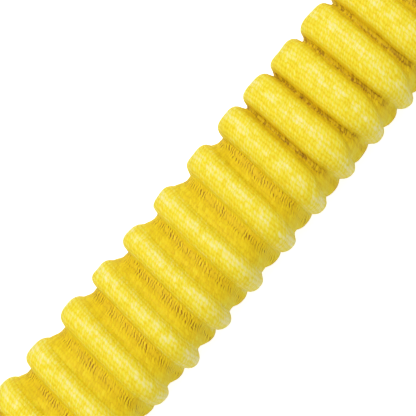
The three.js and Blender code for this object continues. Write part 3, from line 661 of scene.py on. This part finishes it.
def sew(name, node, body, seams, toward):
    """Stitches along straight seams, each given by its two ends on the face that looks back
    against the direction toward."""
    target = shape_of(node, clean=False)
    tree = bvhtree.BVHTree.FromBMesh(target)
    target.free()
    shape = bmesh.new()
    back = Vector(toward) * -50 * MM
    for start, end in seams:
        start, end = Vector(start), Vector(end)
        count = max(1, round((end - start).length / STITCH))
        for i in range(count):
            ends = []
            for share in ((i + 0.14) / count, (i + 0.86) / count):
                hit = tree.ray_cast(start.lerp(end, share) + back, Vector(toward))[0]
                ends.append(hit)
            if None in ends:
                continue
            middle, along = (ends[0] + ends[1]) / 2, ends[1] - ends[0]
            bead = bmesh.ops.create_uvsphere(shape, u_segments=8, v_segments=5, radius=1)["verts"]
            size = Matrix.Diagonal((THREAD_RADIUS, THREAD_RADIUS, along.length * 0.62, 1))
            turn = along.to_track_quat("Z", "Y").to_matrix().to_4x4()
            bmesh.ops.transform(shape, matrix=Matrix.Translation(middle) @ turn @ size, verts=bead)
    thread_map = shape.loops.layers.uv.new("cloth")
    for face in shape.faces:
        face.smooth = True
        for loop in face.loops:
            co = loop.vert.co
            loop[thread_map].uv = ((co.y + co.z) / MM, co.x / MM)
    mesh = bpy.data.meshes.new(name)
    shape.to_mesh(mesh)
    shape.free()
    piece = link_piece(name, mesh, thread)
    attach(piece, body)


def box_seams(x0, x1, a0, a1, place):
    """A sewn box with a cross in it. place puts (x, a) on the webbing's face."""
    corner = [place(x0, a0), place(x1, a0), place(x1, a1), place(x0, a1)]
    cross = [(corner[0], corner[2]), (corner[1], corner[3])]
    return list(zip(corner, corner[1:] + corner[:1])) + cross


keeper_end, eye_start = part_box("bridle_keeper")[1].x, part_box("swivel_eye")[0].x
for side, sign in (("left", 1), ("right", -1)):
    sew("bridle_stitching_" + side, "bridle_strap", "bridle",
        box_seams(keeper_end + 1.5 * MM, eye_start - 8 * MM,
                  bar_z - SEAM_HALF_WIDTH, bar_z + SEAM_HALF_WIDTH,
                  lambda x, z: (x, sign * 20 * MM, z)), (0, -sign, 0))

# --------------------------------------------------------------------------------------
# Tabs. A flat strap at each end of the shock line, folded round the swivel's yoke or the
# hook's small end, sewn to itself, and held with the cords in the clamp.
# --------------------------------------------------------------------------------------
LOOP_RADIUS = 5.5 * MM
HOOK_MIDDLE_Z = 6.5 * MM
TAB_SEAM = (17 * MM, 27 * MM)         # from the middle of the loop
for end, body in (("handle", "shock_line"), ("boat", "boat_end")):
    tab_low, tab_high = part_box(end + "_end_tab")
    if end == "handle":
        bar_at, inward = Vector((tab_low.x + LOOP_RADIUS, bar_z)), 1
    else:
        bar_at, inward = Vector((tab_high.x - LOOP_RADIUS, HOOK_MIDDLE_Z)), -1
    tab_shape = shape_of(end + "_end_tab")
    soften(tab_shape, 0.5 * MM, over=60)
    cloth_map = tab_shape.loops.layers.uv.new("cloth")
    for face in tab_shape.faces:
        for loop in face.loops:
            co = loop.vert.co
            out = Vector((co.x, co.z)) - bar_at
            way = inward * out.x
            if way < 2 * MM and out.length < LOOP_RADIUS + 0.4 * MM:
                way = 2 * MM - LOOP_RADIUS * (math.atan2(abs(out.y), way) - math.radians(70))
            loop[cloth_map].uv = (co.y / STRAP_WIDTH + 0.5, way / WEAVE_REPEAT)
    finish_piece(end + "_tab_webbing", tab_shape, end + "_end_tab", body,
                 flat_webbing)
    first, last = (bar_at.x + inward * away for away in TAB_SEAM)
    for face_name, sign in (("top", 1), ("under", -1)):
        sew(f"{end}_tab_stitching_{face_name}", end + "_end_tab", body,
            box_seams(first, last, -SEAM_HALF_WIDTH, SEAM_HALF_WIDTH,
                      lambda x, y: (x, y, (1 + sign) * 10 * MM)), (0, 0, -sign))

# --------------------------------------------------------------------------------------
# Grip. Closed-cell foam tube on the aluminium bar, ground with shallow grooves so that wet
# hands hold it.
# --------------------------------------------------------------------------------------
GROOVE_PITCH = 9 * MM
GROOVE_DEPTH = 0.8 * MM
GROOVE_SHARPNESS = 6
RIM_RADIUS = 2.2 * MM
PROFILE_STEPS = 250
GRIP_SIDES = 56
grip_half = (bar_high.y - bar_low.y) / 2
grip_radius = (bar_high.z - bar_low.z) / 2
tube_low, tube_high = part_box("handle_tube")
bore_radius = (tube_high.z - tube_low.z) / 2 + 0.15 * MM
rim_way = [math.radians(15 * i) for i in range(1, 6)]
rim_radius, rim_y = grip_radius - RIM_RADIUS, grip_half - RIM_RADIUS
grip_profile = [(bore_radius, -grip_half), (rim_radius, -grip_half)]
grip_profile += [(rim_radius + RIM_RADIUS * math.sin(a), -rim_y - RIM_RADIUS * math.cos(a))
                 for a in rim_way]
for i in range(PROFILE_STEPS + 1):
    y = -rim_y + 2 * rim_y * i / PROFILE_STEPS
    groove = (0.5 + 0.5 * math.cos(2 * math.pi * y / GROOVE_PITCH)) ** GROOVE_SHARPNESS
    ends = min(1, (grip_half - abs(y)) / (8 * MM))
    grip_profile.append((grip_radius - GROOVE_DEPTH * groove * ends, y))
grip_profile += [(rim_radius + RIM_RADIUS * math.cos(a), rim_y + RIM_RADIUS * math.sin(a))
                 for a in rim_way]
grip_profile += [(rim_radius, grip_half), (bore_radius, grip_half)]

grip_shape = bmesh.new()
ring = [grip_shape.verts.new((bar_x + r, y, bar_z)) for r, y in grip_profile]
for a, b in zip(ring, ring[1:] + ring[:1]):
    grip_shape.edges.new((a, b))
bmesh.ops.spin(grip_shape, geom=grip_shape.verts[:] + grip_shape.edges[:], cent=(bar_x, 0, bar_z),
               axis=(0, 1, 0), angle=2 * math.pi, steps=GRIP_SIDES, use_merge=True)
bmesh.ops.recalc_face_normals(grip_shape, faces=grip_shape.faces)
for face in grip_shape.faces:
    face.smooth = True


# The mottled grain of moulded, ground and tumbled surfaces: a fine noise and a broad one.
mottle, given, result = new_group(
    "mottled_grain", {"Place": None, "Stretch": None, "Fine Scale": 1000, "Broad Scale": 80},
    ("Mottle", "Grain"))
drawn_out = mottle.nodes.new("ShaderNodeVectorMath")
drawn_out.operation = "MULTIPLY"
mottle.links.new(given["Place"], drawn_out.inputs[0])
mottle.links.new(given["Stretch"], drawn_out.inputs[1])
fine = mottle.nodes.new("ShaderNodeTexNoise")
fine.inputs["Detail"].default_value = 4
mottle.links.new(drawn_out.outputs[0], fine.inputs["Vector"])
mottle.links.new(given["Fine Scale"], fine.inputs["Scale"])
broad = mottle.nodes.new("ShaderNodeTexNoise")
broad.inputs["Detail"].default_value = 3
mottle.links.new(given["Place"], broad.inputs["Vector"])
mottle.links.new(given["Broad Scale"], broad.inputs["Scale"])
half_broad = math_node(mottle, "MULTIPLY", broad.outputs["Fac"], 0.5)
both = math_node(mottle, "MULTIPLY_ADD", fine.outputs["Fac"], 0.5, half_broad)
mottle.links.new(both, result["Mottle"])
mottle.links.new(fine.outputs["Fac"], result["Grain"])


def surface_material(name, low, high, roughness, grain, bump_distance, metallic=0.0,
                     stretch=(1, 1, 1), specular=0.5):
    """A mottled surface: two tones, two roughnesses and a fine relief, from one grain size."""
    material = bpy.data.materials.new(name)
    material.use_nodes = True
    tree = material.node_tree
    shader = tree.nodes["Principled BSDF"]
    place = tree.nodes.new("ShaderNodeTexCoord")
    grained = tree.nodes.new("ShaderNodeGroup")
    grained.node_tree = mottle
    tree.links.new(place.outputs["Object"], grained.inputs["Place"])
    grained.inputs["Stretch"].default_value = stretch
    grained.inputs["Fine Scale"].default_value = 1 / grain
    grained.inputs["Broad Scale"].default_value = 0.08 / grain
    colour = ramp_node(material, grained.outputs["Mottle"], ((0.38, low), (0.62, high)))
    tree.links.new(colour, shader.inputs["Base Color"])
    rough = tree.nodes.new("ShaderNodeMapRange")
    tree.links.new(grained.outputs["Mottle"], rough.inputs["Value"])
    rough.inputs["From Min"].default_value = 0.35
    rough.inputs["From Max"].default_value = 0.65
    rough.inputs["To Min"].default_value = roughness[0]
    rough.inputs["To Max"].default_value = roughness[1]
    tree.links.new(rough.outputs["Result"], shader.inputs["Roughness"])
    bump = tree.nodes.new("ShaderNodeBump")
    bump.inputs["Distance"].default_value = bump_distance
    bump.inputs["Strength"].default_value = 0.6
    tree.links.new(grained.outputs["Grain"], bump.inputs["Height"])
    tree.links.new(bump.outputs["Normal"], shader.inputs["Normal"])
    shader.inputs["Metallic"].default_value = metallic
    shader.inputs["Specular IOR Level"].default_value = specular
    return material


foam = surface_material("ground_foam", (0.010, 0.010, 0.011), (0.030, 0.030, 0.032),
                        (0.7, 0.92), 0.7 * MM, 0.5 * MM, specular=0.35)
grip = finish_piece("foam_grip", grip_shape, "grip", "hand_bar", foam, 70)

# --------------------------------------------------------------------------------------
# Bar tube. Drawn aluminium, hidden under the foam but for its ends.
# --------------------------------------------------------------------------------------
aluminium = surface_material("drawn_aluminium", (0.52, 0.53, 0.55), (0.66, 0.67, 0.69),
                             (0.28, 0.42), 0.5 * MM, 0.03 * MM, metallic=1.0, stretch=(1, 0.05, 1))
tube_mesh = bpy.data.objects["handle_tube"].data
for index in range(len(tube_mesh.materials)):
    tube_mesh.materials[index] = aluminium

# --------------------------------------------------------------------------------------
# Rubber and moulded pieces: end caps in the bar, chafe guards and keeper on the bridle, and
# the collars that cover the clamps. Soft black rubber, dull where it is handled.
# --------------------------------------------------------------------------------------
rubber = surface_material("black_rubber", (0.012, 0.012, 0.013), (0.032, 0.032, 0.034),
                          (0.48, 0.72), 0.5 * MM, 0.12 * MM, specular=0.3)
RIB_PITCH = 3 * MM
RIB_HEIGHT = 0.45 * MM
RIB_HALF_WIDTH = 0.35 * MM            # of a rib's flat top
RIB_CLEAR = 2.5 * MM                  # plain rubber at each end


def mould_ribs(shape):
    """Rounded ribs round the outside of a straight sleeve, clear of its two ends."""
    low = min(v.co.x for v in shape.verts)
    high = max(v.co.x for v in shape.verts)
    centre = sum((v.co for v in shape.verts), Vector()) / len(shape.verts)
    first, last = low + RIB_CLEAR, high - RIB_CLEAR
    count = round((last - first) / RIB_PITCH)
    crests = [first + (last - first) * (i + 0.5) / count for i in range(count)]
    for place in crests + [first + (last - first) * i / count for i in range(count + 1)]:
        for shift in (-RIB_HALF_WIDTH, RIB_HALF_WIDTH):
            bmesh.ops.bisect_plane(shape, geom=shape.verts[:] + shape.edges[:] + shape.faces[:],
                                   plane_co=(place + shift, 0, 0), plane_no=(1, 0, 0))
    shape.normal_update()
    moves = []
    for vert in shape.verts:
        out = Vector((0, vert.co.y - centre.y, vert.co.z - centre.z))
        outward = Vector((0, vert.normal.y, vert.normal.z))
        near_crest = any(abs(vert.co.x - crest) < RIB_HALF_WIDTH + 0.05 * MM for crest in crests)
        if near_crest and outward.length > 0.5 and outward.dot(out) > 0:
            moves.append((vert, outward.normalized() * RIB_HEIGHT))
    for vert, move in moves:
        vert.co += move


for name, node, body, edge, ribbed in (
    ("moulded_cap_left", "end_cap_left", "hand_bar", 0.4, False),
    ("moulded_cap_right", "end_cap_right", "hand_bar", 0.4, False),
    ("rubber_guard_left", "chafe_guard_left", "bridle", 0.4, False),
    ("rubber_guard_right", "chafe_guard_right", "bridle", 0.4, False),
    ("rubber_keeper", "bridle_keeper", "bridle", 0.4, True),
    ("rubber_collar_handle_end", "handle_end_collar", "shock_line", 0.35, True),
    ("rubber_collar_boat_end", "boat_end_collar", "boat_end", 0.35, True),
):
    piece_shape = shape_of(node)
    soften(piece_shape, edge * MM, over=40)
    if ribbed:
        mould_ribs(piece_shape)
    bmesh.ops.triangulate(piece_shape, faces=[f for f in piece_shape.faces if len(f.verts) > 4])
    for face in piece_shape.faces:
        face.smooth = True
    finish_piece(name, piece_shape, node, body, rubber, 60)

# --------------------------------------------------------------------------------------
# Metal pieces. Stainless steel, bent from round bar or turned, tumbled bright and lightly
# scratched; the clamps are pressed aluminium.
# --------------------------------------------------------------------------------------
steel = surface_material("stainless_steel", (0.50, 0.50, 0.51), (0.70, 0.70, 0.71),
                         (0.14, 0.32), 0.8 * MM, 0.02 * MM, metallic=1.0, stretch=(0.2, 1, 1))
spring_steel = surface_material("spring_steel", (0.30, 0.30, 0.31), (0.46, 0.46, 0.47),
                                (0.25, 0.4), 0.6 * MM, 0.01 * MM, metallic=1.0)
for name, node, body, edge, material, slot_name in (
    ("steel_eye", "swivel_eye", "swivel_shaft", 0.4, steel, "stainless_steel"),
    ("steel_yoke", "swivel_yoke", "swivel_hub", 0.5, steel, "stainless_steel"),
    ("steel_washer", "swivel_washer", "swivel_shaft", 0.2, steel, "stainless_steel"),
    ("steel_nut", "swivel_nut", "swivel_shaft", 0.35, steel, "stainless_steel"),
    ("steel_hook", "hook_body", "hook", 0.35, steel, "stainless_steel"),
    ("steel_gate", "hook_gate", "gate", 0.3, steel, "stainless_steel"),
    ("steel_pin", "gate_pin", "hook", 0.15, steel, "stainless_steel"),
    ("steel_plunger", "gate_plunger", "gate", 0.15, spring_steel, "spring_steel"),
    ("coiled_spring", "gate_spring", "gate", 0, spring_steel, "spring_steel"),
    ("pressed_clamp_handle_end", "handle_end_clamp", "shock_line", 0.2, aluminium, "aluminium"),
    ("pressed_clamp_boat_end", "boat_end_clamp", "boat_end", 0.2, aluminium, "aluminium"),
):
    piece_shape = shape_of(node, clean=edge > 0)
    if edge:
        soften(piece_shape, edge * MM, over=50)
    else:
        for face in piece_shape.faces:
            face.smooth = True
    finish_piece(name, piece_shape, node, body, material, 50)
